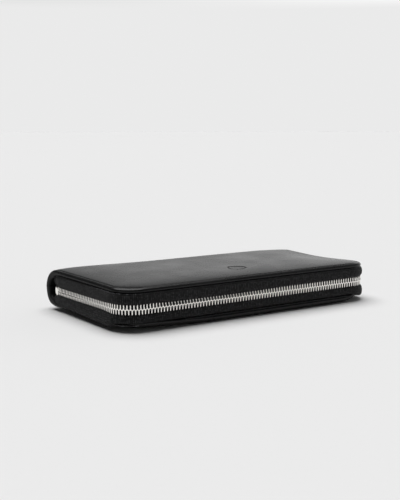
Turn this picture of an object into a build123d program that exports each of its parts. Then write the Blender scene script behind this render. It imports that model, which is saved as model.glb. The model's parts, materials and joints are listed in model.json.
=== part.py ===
"""Long wallet with a zip round three sides, a card panel in each cover and a zipped coin pocket.

The wallet lies closed on its bottom cover. X runs along the wallet, Y from the zipped front to the
spine and Z up. The origin is the middle of the bottom cover's flat outer face. Millimetres.
"""
from math import cos, degrees, pi, radians, sin
import os

from build123d import *

# ---------------------------------------------------------------- driving dimensions
length = 196.0              # over the zip tape, left to right
depth = 100.0               # over the zip tape and the spine, front to back
thickness = 27.0            # over the two covers
corner_radius = 16.0        # of the zip tape round each front corner

leather_thick = 1.1         # outer leather
padding_thick = 0.8
board_thick = 0.8
turned_edge_thick = 0.8     # outer leather, thinned and folded over the board
turned_edge_width = 7.0
tape_thick = 0.5            # horizontal part of a zip tape, sewn under the lining
lining_thick = 0.6
cover_inset = 1.0           # cover edge inside the tape's outer face
roll_width = 5.0            # how far in from its edge a cover rolls up off the surface
roll_height = 2.0

card_backing_thick = 0.5
card_slot_thick = 0.5
card_slot_count = 4
card_slot_step = 11.0       # from one slot's mouth to the next
first_slot_mouth = -38.0    # Y of the slot mouth nearest the zip
card_panel_half = 90.0
card_panel_front = -42.0
card_panel_back = 33.0

wall_thick = 0.6            # vertical part of a zip tape
tooth_pitch = 2.13
tooth_width = 0.85          # along the zip
tooth_depth = 2.6           # through the tape
tooth_reach = 3.1           # from the zip's middle to the back of a tooth
tooth_bite = 1.15           # from the zip's middle to the tip of a tooth's head
tape_gap = 1.25             # from the zip's middle to the tape's edge

slider_length = 11.0

coin_wall_thick = 0.8
coin_hollow = 2.4
coin_front = -27.5
coin_half = 90.0
coin_zip_half = 72.0
coin_tape_y = -31.0         # outer face of the coin zip's tape
coin_tooth_pitch = 2.0
coin_tooth_reach = 1.9
coin_tooth_bite = 0.75
coin_tape_gap = 0.85

gusset_inner = 76.0
gusset_outer = 92.0
gusset_thick = 0.6
gusset_front = -24.0
gusset_back = 31.0
gap = 0.05                  # between layers that move apart

# ---------------------------------------------------------------- derived dimensions
mid_z = thickness / 2
spine_radius = thickness / 2
hinge_y = depth / 2 - spine_radius
half_length = length / 2
front_y = -depth / 2

padding_z = leather_thick
board_z = padding_z + padding_thick
turned_z = board_z + board_thick
tape_z = turned_z + turned_edge_thick
lining_z = tape_z + tape_thick
panel_z = lining_z + lining_thick
slot_z = panel_z + card_backing_thick
compartment_z = slot_z + card_slot_count * card_slot_thick

coin_z = mid_z - coin_hollow / 2 - coin_wall_thick       # underside of the coin pocket
tape_end_y = hinge_y - 0.5
slider_back = tape_end_y - 1.5
slider_front = slider_back - slider_length
slider_y = (slider_front + slider_back) / 2
tape_mid = half_length - wall_thick / 2                  # the tape's middle, out from the centre line

mirror_plane = Plane.XY.offset(mid_z)
os.makedirs("parts", exist_ok=True)


def save(shape, name):
    """Labels a finished piece and writes it as parts/NAME.step."""
    shape.label = name
    export_step(shape, f"parts/{name}.step")


def save_with_mirror(shape, lower_name, upper_name):
    """Writes a piece of the bottom half, and its mirror image as the same piece of the top half."""
    save(shape, lower_name)
    with BuildPart() as upper:
        mirror(shape, about=mirror_plane)
    save(upper.part, upper_name)


def cover_plan(inset, back=hinge_y):
    """Outline of a cover layer: square at the spine, round at the front corners."""
    width = length - 2 * inset
    front = front_y + inset
    with BuildSketch() as plan:
        with Locations((0, (front + back) / 2)):
            Rectangle(width, back - front)
        front_corners = plan.vertices().group_by(Axis.Y)[0]
        fillet(front_corners, max(corner_radius - inset, 1.0))
    return plan.sketch


def slab(inset, low, high, back=hinge_y):
    """A cover layer between two heights."""
    with BuildPart() as layer:
        with BuildSketch(Plane.XY.offset(low)):
            add(cover_plan(inset, back))
        extrude(amount=high - low)
    return layer.part


def rolled(inset, low, high, width, height):
    """A cover layer whose lower edge rolls up along the front and the two sides."""
    with BuildPart() as layer:
        with BuildSketch(Plane.XY.offset(low)):
            add(cover_plan(inset))
        extrude(amount=high - low)
        underside = layer.faces().sort_by(Axis.Z)[0]
        back_edge = underside.edges().sort_by(Axis.Y)[-1]
        chamfer(underside.edges() - ShapeList([back_edge]), width, height, reference=underside)
    return layer.part


# ---------------------------------------------------------------- covers
cavity = rolled(cover_inset + leather_thick, padding_z, turned_z, roll_width - 1.0, roll_height - 1.0)

with BuildPart() as cover_leather:
    add(rolled(cover_inset, 0, tape_z, roll_width, roll_height))
    add(cavity, mode=Mode.SUBTRACT)
    add(slab(cover_inset + turned_edge_width, turned_z, tape_z), mode=Mode.SUBTRACT)
save_with_mirror(cover_leather.part, "bottom_cover_leather", "top_cover_leather")

with BuildPart() as padding:
    add(cavity)
    split(bisect_by=Plane.XY.offset(board_z), keep=Keep.BOTTOM)
save_with_mirror(padding.part, "bottom_cover_padding", "top_cover_padding")

with BuildPart() as board:
    add(cavity)
    split(bisect_by=Plane.XY.offset(board_z), keep=Keep.TOP)
save_with_mirror(board.part, "bottom_cover_board", "top_cover_board")

with BuildPart() as filler:
    add(slab(cover_inset + turned_edge_width, turned_z, lining_z))
save_with_mirror(filler.part, "bottom_cover_filler", "top_cover_filler")

with BuildPart() as lining:
    add(slab(wall_thick + 0.6, lining_z, panel_z))
save_with_mirror(lining.part, "bottom_lining", "top_lining")


# ---------------------------------------------------------------- spine
def spine_layer(outer, inner, half_width):
    """Half a tube round the hinge line, open towards the front."""
    with BuildPart() as layer:
        with BuildSketch(Plane.YZ.offset(-half_width)):
            with BuildLine():
                CenterArc((hinge_y, mid_z), outer, -90, 180)
                Line((hinge_y, mid_z + outer), (hinge_y, mid_z + inner))
                CenterArc((hinge_y, mid_z), inner, -90, 180)
                Line((hinge_y, mid_z - inner), (hinge_y, mid_z - outer))
            make_face()
        extrude(amount=2 * half_width)
    return layer.part


spine_half = half_length - cover_inset
save(spine_layer(spine_radius, spine_radius - leather_thick, spine_half), "spine_leather")
inner_half = spine_half - leather_thick
save(spine_layer(spine_radius - leather_thick, mid_z - lining_z, inner_half), "spine_reinforcement")
save(spine_layer(mid_z - lining_z, mid_z - panel_z, inner_half), "spine_lining")


# ---------------------------------------------------------------- card panels
def card_layer(front, low, thick):
    """One leather layer of a card panel, from its mouth back to the seam by the spine."""
    with BuildPart() as layer:
        with BuildSketch(Plane.XY.offset(low)) as outline:
            with Locations((0, (front + card_panel_back) / 2)):
                Rectangle(2 * card_panel_half, card_panel_back - front)
            fillet(outline.vertices().group_by(Axis.Y)[0], 3.0)
        extrude(amount=thick)
    return layer.part


save_with_mirror(card_layer(card_panel_front, panel_z, card_backing_thick),
                 "lower_card_backing", "upper_card_backing")
for slot in range(card_slot_count):
    mouth_y = first_slot_mouth + slot * card_slot_step
    strip = card_layer(mouth_y, slot_z + slot * card_slot_thick, card_slot_thick)
    save_with_mirror(strip, f"lower_card_slot_{slot + 1}", f"upper_card_slot_{slot + 1}")


# ---------------------------------------------------------------- main zip
def track_band(outer_inset, inner_inset, low, high):
    """A band that follows the zip round three sides, between two insets and two heights."""
    with BuildPart() as band:
        add(slab(outer_inset, low, high, tape_end_y))
        add(slab(inner_inset, low, high, tape_end_y), mode=Mode.SUBTRACT)
    return band.part


with BuildPart() as zip_tape:
    add(track_band(0, wall_thick, tape_z, mid_z - tape_gap))
    add(track_band(0, turned_edge_width, tape_z, lining_z))
with BuildPart() as upper_zip_tape:
    mirror(zip_tape.part, about=mirror_plane)
save(upper_zip_tape.part, "upper_zip_tape")

tail_end_y = hinge_y + 3.0  # the left end of the lower tape runs on into the spine, to the bottom stop
with BuildPart() as lower_zip_tape:
    add(zip_tape.part)
    with Locations((-tape_mid, (tape_end_y + tail_end_y) / 2, (panel_z + mid_z - tape_gap) / 2)):
        Box(wall_thick, tail_end_y - tape_end_y, mid_z - tape_gap - panel_z)
save(lower_zip_tape.part, "lower_zip_tape")

side_run = tape_end_y - (front_y + corner_radius)
front_run = length - 2 * corner_radius
bend_radius = corner_radius - wall_thick / 2
bend_run = bend_radius * pi / 2


def track_place(distance):
    """Where the zip is at a distance from its left end: X, Y and its outward side's heading in degrees."""
    if distance < side_run:
        return -tape_mid, tape_end_y - distance, 180.0
    distance -= side_run
    if distance < bend_run:
        turn = 180.0 + degrees(distance / bend_radius)
        centre_x = -half_length + corner_radius
        centre_y = front_y + corner_radius
        return centre_x + bend_radius * cos(radians(turn)), centre_y + bend_radius * sin(radians(turn)), turn
    distance -= bend_run
    if distance < front_run:
        return -half_length + corner_radius + distance, front_y + wall_thick / 2, 270.0
    distance -= front_run
    if distance < bend_run:
        turn = 270.0 + degrees(distance / bend_radius)
        centre_x = half_length - corner_radius
        centre_y = front_y + corner_radius
        return centre_x + bend_radius * cos(radians(turn)), centre_y + bend_radius * sin(radians(turn)), turn
    distance -= bend_run
    return tape_mid, front_y + corner_radius + distance, 0.0


def tooth(width, through, reach, bite, edge, tape):
    """One zip tooth that grips the tape above it. Its head points down past Z 0, and X is outward."""
    with BuildPart() as piece:
        with BuildSketch(Plane.XZ.offset(-width / 2)):
            with Locations((0, (reach - bite) / 2)):
                Rectangle(through, reach + bite)
            with Locations((0, reach)):
                Rectangle(tape + 0.04, 2 * (reach - edge + 0.02), mode=Mode.SUBTRACT)
        extrude(amount=width)
    return piece.part


first_tooth = 2.4           # from the tape's left end to the first tooth
last_tooth = 2 * side_run + 2 * bend_run + front_run - (tape_end_y - slider_front) - 0.8
tooth_total = int((last_tooth - first_tooth) / tooth_pitch)

main_tooth = tooth(tooth_width, tooth_depth, tooth_reach, tooth_bite, tape_gap, wall_thick)
upper_stations = []
lower_stations = []
for number in range(tooth_total):
    station = first_tooth + number * tooth_pitch
    x, y, heading = track_place(station)
    upper_stations.append(Location((x, y, mid_z), (0, 0, heading)))
    x, y, heading = track_place(station + tooth_pitch / 2)
    lower_stations.append(Location((x, y, mid_z), (0, 0, heading)) * Location((0, 0, 0), (180, 0, 0)))
save(Compound(children=[main_tooth.moved(place) for place in upper_stations]), "upper_zip_teeth")
save(Compound(children=[main_tooth.moved(place) for place in lower_stations]), "lower_zip_teeth")

stop_clearance = 0.05
stop_plate = 0.75
stop_length = 1.4
bottom_stop_web = 0.8
bottom_stop_length = 1.8


def stop_clip(low, high, web_low, web_high, width, middle_y):
    """Two small plates, one each side of a tape at X 0, joined by a web; the outward side is +X."""
    span = wall_thick + 2 * stop_clearance
    with BuildPart() as clip:
        with Locations((0, middle_y, (low + high) / 2)):
            Box(span + 2 * stop_plate, width, high - low)
            Box(span, width, high - low, mode=Mode.SUBTRACT)
        with Locations((0, middle_y, (web_low + web_high) / 2)):
            Box(span + 2 * stop_plate, width, web_high - web_low)
    return clip.part


top_stop_y = slider_back + 0.15 + stop_length / 2
stop_top = mid_z - tape_gap + 0.05
lower_stop = stop_clip(mid_z - 3.0, stop_top, stop_top, mid_z - 0.4, stop_length, top_stop_y)
with BuildPart() as top_stop:
    with Locations((tape_mid, 0, 0)):
        add(lower_stop)
save_with_mirror(top_stop.part, "zip_top_stop_lower", "zip_top_stop_upper")

end_stop = stop_clip(mid_z - tooth_reach, mid_z + tooth_reach, mid_z - bottom_stop_web,
                     mid_z + bottom_stop_web, bottom_stop_length, tail_end_y - 1.1)
with BuildPart() as bottom_stop:
    with Locations((-tape_mid, 0, 0)):
        add(end_stop)
save(bottom_stop.part, "zip_bottom_stop")

# ---------------------------------------------------------------- main slider and its pull
channel_half = tooth_depth / 2 + 0.2
plate_thick = 1.2
mouth_half = 5.0            # half the slider's height at its open end
throat_half = 4.2
rail_inner = tooth_reach + 0.2
rail_slot = 0.55            # half the slot that the tape runs in


def slider_shell(span, mouth, throat):
    """Side view of a slider, in Y and Z about the zip's middle line."""
    with BuildSketch() as view:
        with BuildLine():
            Polyline((slider_front, throat), (slider_front + span / 2, throat), (slider_back - 1.5, mouth),
                     (slider_back, mouth - 0.8), (slider_back, -mouth + 0.8), (slider_back - 1.5, -mouth),
                     (slider_front + span / 2, -throat), (slider_front, -throat), close=True)
        make_face()
        fillet(view.vertices(), 0.5)
    return view.sketch


outer_plate_x = tape_mid + channel_half
inner_plate_x = tape_mid - channel_half - plate_thick
slider_plane = Plane((0, 0, mid_z), x_dir=(0, 1, 0), z_dir=(1, 0, 0))
with BuildPart() as zip_slider:
    for plate_x in (inner_plate_x, outer_plate_x):
        with BuildSketch(slider_plane.offset(plate_x)):
            add(slider_shell(slider_length, mouth_half, throat_half))
        extrude(amount=plate_thick)
    for side in (-1, 1):
        with BuildSketch(slider_plane.offset(tape_mid - channel_half)):
            with Locations((slider_front + 4.0, side * (rail_inner + throat_half) / 2)):
                Rectangle(7.0, throat_half - rail_inner)
        extrude(amount=2 * channel_half)
    with Locations((tape_mid, slider_front + 4.0, mid_z)):
        Box(2 * rail_slot, slider_length, 2 * mouth_half, mode=Mode.SUBTRACT)
    with BuildSketch(slider_plane.offset(tape_mid - channel_half)):
        with BuildLine():
            Polyline((slider_back - 5.0, 0), (slider_back - 2.0, 0.75), (slider_back - 0.6, 0.6),
                     (slider_back - 0.6, -0.6), (slider_back - 2.0, -0.75), close=True)
        make_face()
    extrude(amount=2 * channel_half)
save(zip_slider.part, "zip_slider_body")

bridge_base = outer_plate_x + plate_thick
bridge_height = 3.0
bridge_thick = 0.9
bridge_half = 3.6
pin_radius = 0.7
pin_x = bridge_base + 0.35 + pin_radius


def bridge(base, middle, half, height, thick, plane, width):
    """The arch that holds a slider's pull, drawn along the slide and outward from its plate."""
    with BuildPart() as arch:
        with BuildSketch(plane.offset(-width / 2)) as profile:
            with Locations((middle, base + height / 2)):
                Rectangle(2 * half, height)
            fillet(profile.vertices().group_by(Axis.Y)[-1], height * 0.45)
            with Locations((middle, base + (height - thick) / 2)):
                Rectangle(2 * (half - thick), height - thick, mode=Mode.SUBTRACT)
        extrude(amount=width)
    return arch.part


along_y = Plane((0, 0, mid_z), x_dir=(0, 1, 0), z_dir=(0, 0, -1))
bridge_width = 1.5
arch_shape = bridge(bridge_base, slider_y, bridge_half, bridge_height, bridge_thick, along_y, bridge_width)
save(arch_shape, "zip_slider_bridge")

link_inner = 1.5
link_arm = 1.2
link_length = 8.5
with BuildPart() as pull_link:
    with BuildSketch(Plane.YZ.offset(pin_x - pin_radius)) as frame:
        with Locations((slider_y - link_length / 2, mid_z)):
            Rectangle(link_length, 2 * (link_inner + link_arm))
        fillet(frame.vertices(), 0.65)
        with Locations((slider_y - link_length / 2, mid_z)):
            Rectangle(link_length - 2 * pin_radius, 2 * link_inner, mode=Mode.SUBTRACT)
    extrude(amount=2 * pin_radius)
    with Locations(Location((pin_x, slider_y, mid_z))):
        Cylinder(pin_radius, 2 * link_inner + 0.4)
save(pull_link.part, "zip_pull_link")

bar_y = slider_y - link_length + pin_radius / 2          # the far bar of the link
bar_clearance = 0.05
neck_wall = 0.6
tab_back = bar_y - 1.6
tab_length = 25.0
tab_half = 3.4
tab_half_thick = 0.85
with BuildPart() as pull_tab:
    with BuildSketch(Plane.YZ.offset(pin_x - tab_half_thick)) as outline:
        with Locations((tab_back - tab_length / 2, mid_z)):
            Rectangle(tab_length, 2 * tab_half)
        fillet(outline.vertices().group_by(Axis.X)[0], 2.6)
    extrude(amount=2 * tab_half_thick)
    neck_front = tab_back - 1.0
    neck_back = bar_y + pin_radius / 2 + bar_clearance + neck_wall
    with Locations((pin_x, (neck_front + neck_back) / 2, mid_z)):
        Box(2 * (pin_radius + bar_clearance + neck_wall), neck_back - neck_front, 2 * (link_inner - 0.1))
    bar_space = pin_radius + bar_clearance
    with Locations((pin_x, bar_y, mid_z)):
        Box(2 * bar_space, bar_space + bar_clearance, 2 * link_inner, mode=Mode.SUBTRACT)
save(pull_tab.part, "zip_pull_tab")

# ---------------------------------------------------------------- coin pocket
coin_back = card_panel_back


def coin_slab(half, front, back, low, high):
    with BuildPart() as layer:
        with Locations((0, (front + back) / 2, (low + high) / 2)):
            Box(2 * half, back - front, high - low)
    return layer.part


save_with_mirror(coin_slab(coin_half, coin_front, coin_back, coin_z, coin_z + coin_wall_thick),
                 "coin_pocket_lower_wall", "coin_pocket_upper_wall")

coin_seam = 3.0
with BuildPart() as coin_binding:
    add(coin_slab(coin_half, coin_front, coin_back, coin_z + coin_wall_thick, mid_z + coin_hollow / 2))
    add(coin_slab(coin_half - coin_seam, coin_front, coin_back - coin_seam,
                  coin_z + coin_wall_thick, mid_z + coin_hollow / 2), mode=Mode.SUBTRACT)
save(coin_binding.part, "coin_pocket_side_gusset")

strip_back = hinge_y + mid_z - panel_z - 0.5
save(coin_slab(coin_half - 4.0, coin_back, strip_back, mid_z - 0.4, mid_z + 0.4), "coin_pocket_hinge_strip")

coin_tape_low = mid_z - coin_hollow / 2 - coin_wall_thick - tape_thick
coin_tape_high = mid_z - coin_tape_gap
coin_tape_back = coin_front + 3.0
with BuildPart() as coin_tape:
    with Locations((0, coin_tape_y + tape_thick / 2, (coin_tape_low + coin_tape_high) / 2)):
        Box(2 * coin_zip_half + 8.0, tape_thick, coin_tape_high - coin_tape_low)
    with Locations((0, (coin_tape_y + coin_tape_back) / 2, coin_tape_low + tape_thick / 2)):
        Box(2 * coin_zip_half + 8.0, coin_tape_back - coin_tape_y, tape_thick)
save_with_mirror(coin_tape.part, "coin_zip_lower_tape", "coin_zip_upper_tape")

with BuildPart() as coin_facing:
    with Locations((0, (coin_tape_y + 0.5 + coin_tape_back) / 2, coin_tape_low - lining_thick / 2)):
        Box(2 * coin_half, coin_tape_back - coin_tape_y - 0.5, lining_thick)
save_with_mirror(coin_facing.part, "coin_mouth_lower_facing", "coin_mouth_upper_facing")

coin_tooth = tooth(0.8, 2.1, coin_tooth_reach, coin_tooth_bite, coin_tape_gap, tape_thick)
coin_tooth_total = int(2 * coin_zip_half / coin_tooth_pitch) - 6
coin_tape_mid = coin_tape_y + tape_thick / 2
coin_first = -coin_zip_half + 3.0
coin_slider_x = coin_first + coin_tooth_total * coin_tooth_pitch + 4.6
upper_stations = []
lower_stations = []
for number in range(coin_tooth_total):
    x = coin_first + number * coin_tooth_pitch
    upper_stations.append(Location((x, coin_tape_mid, mid_z), (0, 0, -90)))
    lower_stations.append(Location((x + coin_tooth_pitch / 2, coin_tape_mid, mid_z), (0, 0, -90))
                          * Location((0, 0, 0), (180, 0, 0)))
save(Compound(children=[coin_tooth.moved(place) for place in upper_stations]), "coin_zip_upper_teeth")
save(Compound(children=[coin_tooth.moved(place) for place in lower_stations]), "coin_zip_lower_teeth")

coin_slider_half = 4.0
coin_plate = 0.9
coin_channel_half = 1.25
coin_front_plate_y = coin_tape_mid - coin_channel_half - coin_plate
coin_rear_plate_y = coin_tape_mid + coin_channel_half
coin_side = Plane((0, 0, mid_z), x_dir=(1, 0, 0), z_dir=(0, 1, 0))


def coin_plate_view(half_height):
    with BuildSketch() as view:
        with Locations((coin_slider_x, 0)):
            Rectangle(2 * coin_slider_half, 2 * half_height)
        fillet(view.vertices(), 0.8)
    return view.sketch


with BuildPart() as coin_slider:
    with BuildSketch(coin_side.offset(coin_front_plate_y)):
        add(coin_plate_view(3.1))
    extrude(amount=coin_plate)
    with BuildSketch(coin_side.offset(coin_rear_plate_y)):
        add(coin_plate_view(1.8))
    extrude(amount=coin_plate)
    for side in (-1, 1):
        with Locations((coin_slider_x, coin_front_plate_y + coin_plate + 0.4, mid_z + side * 2.55)):
            Box(2 * coin_slider_half - 2.0, 0.8, 1.0)
    with Locations((coin_slider_x + 2.4, coin_tape_mid, mid_z)):
        Box(2.4, 2 * coin_channel_half, 1.1)
save(coin_slider.part, "coin_slider_body")

coin_pin_radius = 0.6
coin_pin_y = coin_front_plate_y - 0.3 - coin_pin_radius
along_x = Plane((0, 0, mid_z), x_dir=(1, 0, 0), z_dir=(0, 0, -1))
save(bridge(-coin_front_plate_y, coin_slider_x, 2.8, 2.2, 0.6, along_x, 1.2), "coin_slider_bridge")

coin_pull_length = 12.0
with BuildPart() as coin_pull:
    with BuildSketch(Plane.XZ.offset(-(coin_pin_y - coin_pin_radius))) as outline:
        with Locations((coin_slider_x - coin_pull_length / 2 + 0.6, mid_z)):
            Rectangle(coin_pull_length, 4.2)
        fillet(outline.vertices(), 1.2)
        with Locations((coin_slider_x - 1.7, mid_z)):
            Rectangle(3.4, 1.8, mode=Mode.SUBTRACT)
        with Locations((coin_slider_x - coin_pull_length + 2.6, mid_z)):
            Circle(0.8, mode=Mode.SUBTRACT)
    extrude(amount=-2 * coin_pin_radius)
save(coin_pull.part, "coin_slider_pull")

coin_stop_x = coin_zip_half + 1.6
with BuildPart() as coin_stops:
    for stop_x in (-coin_stop_x, coin_stop_x):
        for plate_y in (coin_tape_y - 0.5, coin_tape_y + tape_thick):
            with Locations((stop_x, plate_y + 0.25, mid_z)):
                Box(1.6, 0.5, 3.4)
        with Locations((stop_x, coin_tape_mid, mid_z)):
            Box(1.6, tape_thick, 1.3)
save(coin_stops.part, "coin_zip_end_stops")

# ---------------------------------------------------------------- side gussets


def gusset(side, low, high):
    """A folded leather strip: a leaf under, a leaf over and the fold between them, open to the outside."""
    middle_x = side * (gusset_inner + gusset_outer) / 2
    width = gusset_outer - gusset_inner
    with BuildPart() as strip:
        with Locations((middle_x, (gusset_front + gusset_back) / 2, (low + high) / 2)):
            Box(width, gusset_back - gusset_front, high - low)
        with Locations((middle_x + side * gusset_thick, (gusset_front + gusset_back) / 2, (low + high) / 2)):
            Box(width, gusset_back - gusset_front, high - low - 2 * gusset_thick, mode=Mode.SUBTRACT)
    return strip.part


for side, word in ((-1, "left"), (1, "right")):
    strip = gusset(side, compartment_z + gap, coin_z - gap)
    save_with_mirror(strip, f"lower_gusset_{word}", f"upper_gusset_{word}")

print("compartment height", round(coin_z - compartment_z, 2), "teeth per side", tooth_total)
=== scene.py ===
"""Looks of the long wallet: leather covers and spine, woven zip, card panels and coin pocket.

Lengths are in millimetres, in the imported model's frame, and turn into metres when a mesh is made.
"""

import json
import math

import bmesh
import bpy
import numpy as np
from mathutils import Matrix, Vector

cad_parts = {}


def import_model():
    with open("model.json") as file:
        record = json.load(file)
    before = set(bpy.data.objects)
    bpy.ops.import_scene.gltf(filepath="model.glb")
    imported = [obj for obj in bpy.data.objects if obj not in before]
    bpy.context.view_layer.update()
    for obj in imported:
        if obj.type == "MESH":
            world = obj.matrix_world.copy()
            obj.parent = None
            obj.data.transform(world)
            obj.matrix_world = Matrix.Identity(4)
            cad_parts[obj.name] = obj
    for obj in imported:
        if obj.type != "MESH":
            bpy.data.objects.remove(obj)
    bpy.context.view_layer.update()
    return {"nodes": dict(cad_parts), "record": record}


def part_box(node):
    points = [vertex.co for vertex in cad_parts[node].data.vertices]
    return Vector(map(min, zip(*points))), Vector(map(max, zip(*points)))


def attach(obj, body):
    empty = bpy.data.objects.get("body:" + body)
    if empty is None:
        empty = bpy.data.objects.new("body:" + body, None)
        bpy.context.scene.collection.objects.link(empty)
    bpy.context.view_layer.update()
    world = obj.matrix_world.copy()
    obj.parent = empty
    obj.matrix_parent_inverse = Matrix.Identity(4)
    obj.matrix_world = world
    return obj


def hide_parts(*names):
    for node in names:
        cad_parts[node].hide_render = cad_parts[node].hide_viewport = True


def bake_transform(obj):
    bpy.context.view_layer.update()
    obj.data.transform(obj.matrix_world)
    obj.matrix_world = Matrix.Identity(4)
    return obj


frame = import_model()

MM = 0.001


def cad_box(node):
    """Lowest and highest corners of a CAD node, in millimetres."""
    low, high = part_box(node)
    return np.round(np.array(low) / MM, 3), np.round(np.array(high) / MM, 3)


tape_low, tape_high = cad_box("lower_zip_tape")
spine_low, spine_high = cad_box("spine_leather")
HALF = tape_high[0]                     # half the wallet's length, over the tape
FRONT = tape_low[1]
BACK = spine_high[1]
THICK = spine_high[2]
MID = THICK / 2
HINGE = spine_low[1]                    # Y of the hinge line
CORNER = 16.0                           # radius of the tape round a front corner
EDGE = HALF - spine_high[0]             # how far a cover's edge is inside the tape's outer face


def smooth(value, start, end):
    """Smoothstep from 0 at start to 1 at end."""
    t = np.clip((value - start) / (end - start), 0.0, 1.0)
    return t * t * (3 - 2 * t)


# -------------------- mesh helpers
def make_piece(name, verts, faces, material, uvs=None, flat=False):
    """A mesh object from points in millimetres. uvs holds one pair for each point."""
    mesh = bpy.data.meshes.new(name)
    mesh.from_pydata([tuple(float(c) * MM for c in v) for v in verts], [], faces)
    if uvs is not None:
        layer = mesh.uv_layers.new(name="run")
        loops = np.empty(len(mesh.loops), dtype=np.int32)
        mesh.loops.foreach_get("vertex_index", loops)
        layer.data.foreach_set("uv", np.asarray(uvs, dtype=np.float32)[loops].ravel())
    mesh.validate()
    if not flat:
        mesh.shade_smooth()
    piece = bpy.data.objects.new(name, mesh)
    bpy.context.scene.collection.objects.link(piece)
    mesh.materials.append(material)
    return piece


def outward(piece):
    """Turns a closed mesh's faces outward."""
    work = bmesh.new()
    work.from_mesh(piece.data)
    bmesh.ops.recalc_face_normals(work, faces=work.faces)
    work.to_mesh(piece.data)
    work.free()


def grid_faces(rows, cols, flip=False):
    """Quads of a rows by cols grid of points."""
    faces = []
    for r in range(rows - 1):
        for c in range(cols - 1):
            a = r * cols + c
            quad = (a, a + 1, a + cols + 1, a + cols)
            faces.append(quad[::-1] if flip else quad)
    return faces


def tube_faces(rings, around, first=0):
    """Faces of a closed tube: rings of so many points, the first at an index, with a cap at each end."""
    faces = []
    for ring in range(rings - 1):
        for k in range(around):
            a = first + ring * around + k
            b = first + ring * around + (k + 1) % around
            faces.append((a, b, b + around, a + around))
    last = first + (rings - 1) * around
    faces.append(tuple(range(first, first + around))[::-1])
    faces.append(tuple(range(last, last + around)))
    return faces


def thicken(piece, thickness, offset):
    """Gives a sheet its thickness; offset is -1 behind its face and 0 on both sides of it."""
    modifier = piece.modifiers.new("thickness", "SOLIDIFY")
    modifier.thickness = thickness * MM
    modifier.offset = offset
    depsgraph = bpy.context.evaluated_depsgraph_get()
    done = bpy.data.meshes.new_from_object(piece.evaluated_get(depsgraph))
    piece.modifiers.clear()
    piece.data = done


def stand_for(piece, body, slot_name, *nodes):
    """The piece rides on a body and replaces CAD nodes; slot_name is not used."""
    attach(piece, body)
    if nodes:
        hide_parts(*nodes)
    return piece


# -------------------- materials
def new_material(name):
    """A material with its node tree, its shader and the places on the piece that its textures use."""
    material = bpy.data.materials.new(name)
    material.use_nodes = True
    tree = material.node_tree
    place = tree.nodes.new("ShaderNodeTexCoord").outputs["Object"]
    return material, tree, tree.nodes["Principled BSDF"], place


def node(tree, kind, **inputs):
    """A shader node with some of its inputs set; a link is given as a socket."""
    made = tree.nodes.new(kind)
    for key, value in inputs.items():
        socket = made.inputs[key.replace("_", " ")]
        if isinstance(value, bpy.types.NodeSocket):
            tree.links.new(value, socket)
        else:
            socket.default_value = value
    return made


def ramp(tree, source, stops):
    """Colour of a ramp: stops are (position, grey or colour)."""
    made = tree.nodes.new("ShaderNodeValToRGB")
    tree.links.new(source, made.inputs["Fac"])
    elements = made.color_ramp.elements
    while len(elements) < len(stops):
        elements.new(0.5)
    for element, (position, colour) in zip(elements, stops):
        element.position = position
        colour = (colour,) * 3 if isinstance(colour, (int, float)) else colour
        element.color = (*colour, 1.0)
    return made.outputs["Color"]


def maths(tree, operation, first, second=None):
    """Result of a maths node on sockets or numbers."""
    made = tree.nodes.new("ShaderNodeMath")
    made.operation = operation
    for socket, value in zip(made.inputs, (first, second)):
        if isinstance(value, bpy.types.NodeSocket):
            tree.links.new(value, socket)
        elif value is not None:
            socket.default_value = value
    return made.outputs["Value"]


def noise(tree, place, cells, detail, roughness=0.5):
    """Noise with this many cells in a millimetre."""
    made = node(tree, "ShaderNodeTexNoise", Vector=place, Scale=cells / MM, Detail=detail,
                Roughness=roughness)
    return made.outputs["Fac"]


def relief(tree, shader, height, strength, depth):
    """Fine relief on a surface, this many millimetres deep."""
    bump = node(tree, "ShaderNodeBump", Height=height, Strength=strength, Distance=depth * MM)
    tree.links.new(bump.outputs["Normal"], shader.inputs["Normal"])


def shade(colour, factor):
    return tuple(c * factor for c in colour)


def leather(name, colour, roughness, grain, gloss):
    """Smooth finished leather: fine pores, faint cloudiness and a little wear in its shine."""
    material, tree, shader, place = new_material(name)
    pores = node(tree, "ShaderNodeTexVoronoi", Vector=place, Scale=2.2 / MM)
    creases = noise(tree, place, cells=0.9, detail=6.0, roughness=0.6)
    cloud = noise(tree, place, cells=0.035, detail=4.0, roughness=0.55)
    tone = ramp(tree, cloud, [(0.3, shade(colour, 0.8)), (0.7, shade(colour, 1.25))])
    tree.links.new(tone, shader.inputs["Base Color"])
    shine = ramp(tree, cloud, [(0.25, roughness - 0.04), (0.75, roughness + 0.05)])
    tree.links.new(shine, shader.inputs["Roughness"])
    relief(tree, shader, maths(tree, "ADD", pores.outputs["Distance"], creases), grain, depth=0.05)
    shader.inputs["Specular IOR Level"].default_value = gloss
    return material


WEAVE_SHIFT = 1.57                      # radians by which one set of threads shifts the other


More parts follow.
